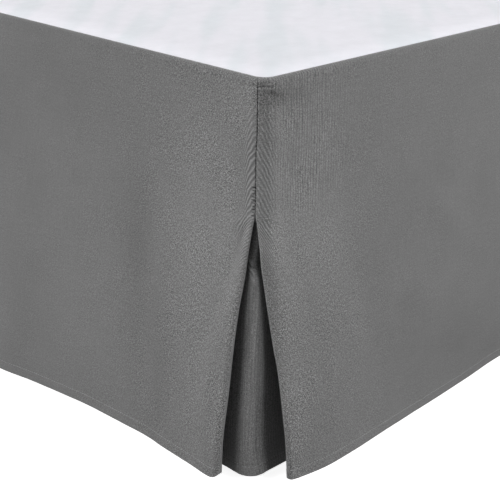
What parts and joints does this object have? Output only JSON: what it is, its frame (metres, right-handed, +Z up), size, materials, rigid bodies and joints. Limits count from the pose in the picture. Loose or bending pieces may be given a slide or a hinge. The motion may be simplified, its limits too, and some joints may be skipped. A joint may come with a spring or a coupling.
{
  "type": "bed skirt on a box spring foundation",
  "caption": "Tailored grey bed skirt with a white deck, hung over a plain box spring foundation on legs, with an inverted pleat at each foot corner and an open head end.",
  "frame": {"origin": "floor level, under the middle of the whole part's box", "axes": "+Z up, the foot end at -Y and the open head end at +Y, +X across the bed"},
  "size_m": [1.592, 2.104, 0.39],
  "materials": {
    "skirt_fabric": "matt brushed grey twill",
    "deck_fabric": "matt white sheeting",
    "foundation_ticking": "matt pale ticking",
    "leg_wood": "satin dark stain"
  },
  "bodies": {
    "root": {"deck": "deck_fabric", "drop_foot": "skirt_fabric", "drop_right": "skirt_fabric", "drop_left": "skirt_fabric", "insert_right": "skirt_fabric", "insert_left": "skirt_fabric", "foundation": "foundation_ticking", "leg_foot_right": "leg_wood", "leg_middle_right": "leg_wood", "leg_head_right": "leg_wood", "leg_foot_left": "leg_wood", "leg_middle_left": "leg_wood", "leg_head_left": "leg_wood"}
  },
  "joints": []
}
